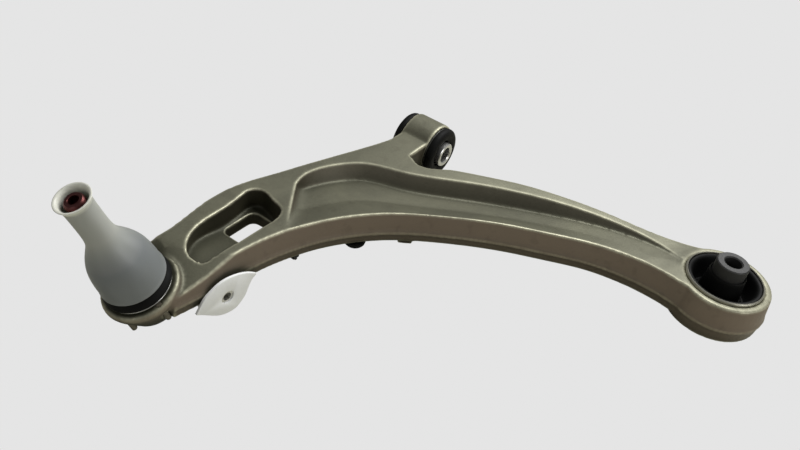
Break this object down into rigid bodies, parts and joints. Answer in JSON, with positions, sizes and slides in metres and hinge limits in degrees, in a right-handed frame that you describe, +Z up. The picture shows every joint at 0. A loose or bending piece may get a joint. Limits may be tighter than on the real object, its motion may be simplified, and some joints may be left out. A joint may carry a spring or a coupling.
{
  "type": "control arm",
  "caption": "Forged L-shaped lower control arm with a capped ball joint, an upright rear bush, a lengthwise front bush and a sensor lug.",
  "frame": {"origin": "middle of the rear bush's bolt bore", "axes": "+Z up the rear bush's bore, +X along the swing axis to the front bush, +Y outboard to the ball joint"},
  "size_m": [0.3835, 0.3843, 0.132],
  "materials": {
    "forging": "forged aluminium, shot blasted, olive grey",
    "zinc_steel": "bright zinc plated steel",
    "white_zinc": "pale passivated steel sheet",
    "dark_steel": "phosphated steel",
    "stud_steel": "dark coated steel",
    "rubber": "moulded natural rubber",
    "seat_plastic": "acetal",
    "black_plastic": "glass filled nylon",
    "cap_plastic": "translucent polyethylene",
    "shell_alloy": "machined aluminium"
  },
  "bodies": {
    "arm": {"arm_forging": "forging", "ball_joint_housing": "dark_steel", "ball_seat_upper": "seat_plastic", "ball_seat_lower": "seat_plastic", "seat_preload_ring": "rubber", "housing_closing_plate": "zinc_steel", "housing_snap_ring": "dark_steel", "housing_lock_pins": "shell_alloy", "boot_lower_clip": "dark_steel", "front_bush_outer_shell": "shell_alloy", "front_bush_rubber": "rubber", "rear_bush_outer_shell": "shell_alloy", "rear_bush_channel_ring": "black_plastic", "rear_bush_window_cage": "dark_steel", "rear_bush_rubber": "rubber", "sensor_bracket": "white_zinc", "bracket_rivets": "zinc_steel", "bracket_clinch_nut": "zinc_steel", "rubber_buffer": "rubber", "edge_clip": "black_plastic"},
    "stud_swing": {"dust_boot": "rubber"},
    "stud_tilt": {"boot_upper_clip": "dark_steel", "stud_guide_ring": "black_plastic"},
    "stud": {"ball_stud": "stud_steel"},
    "cap": {"transport_cap": "cap_plastic"},
    "front_sleeve": {"front_bush_inner_sleeve": "zinc_steel"},
    "rear_core": {"rear_bush_inner_core": "shell_alloy"}
  },
  "joints": [
    {"name": "ball_swing", "type": "hinge", "parent": "arm", "child": "stud_swing", "pos_m": [0.3144, 0.2969, 0.0002], "axis": [0.1928, 0.9069, -0.3746], "range_deg": [-15, 15], "deforming": ["dust_boot"]},
    {"name": "ball_tilt", "type": "hinge", "parent": "stud_swing", "child": "stud_tilt", "pos_m": [0.3144, 0.2969, 0.0002], "axis": [-0.9781, 0.2079, 0], "range_deg": [-15, 15], "deforming": ["dust_boot"]},
    {"name": "stud_spin", "type": "hinge", "parent": "stud_tilt", "child": "stud", "pos_m": [0.3144, 0.2969, 0.0002], "axis": [0.0779, 0.3664, 0.9272], "continuous": true},
    {"name": "cap_pull", "type": "slide", "parent": "stud_tilt", "child": "cap", "axis": [0.0779, 0.3664, 0.9272], "range_m": [0, 0.09]},
    {"name": "front_sleeve_twist", "type": "hinge", "parent": "arm", "child": "front_sleeve", "pos_m": [0.2825, 0, 0], "axis": [1, 0, 0], "range_deg": [-20, 20], "stiffness_Nm_per_rad": 40},
    {"name": "rear_core_tilt", "type": "hinge", "parent": "arm", "child": "rear_core", "pos_m": [0, 0, 0], "axis": [1, 0, 0], "range_deg": [-8, 8], "stiffness_Nm_per_rad": 60, "deforming": ["rear_bush_rubber"]}
  ]
}
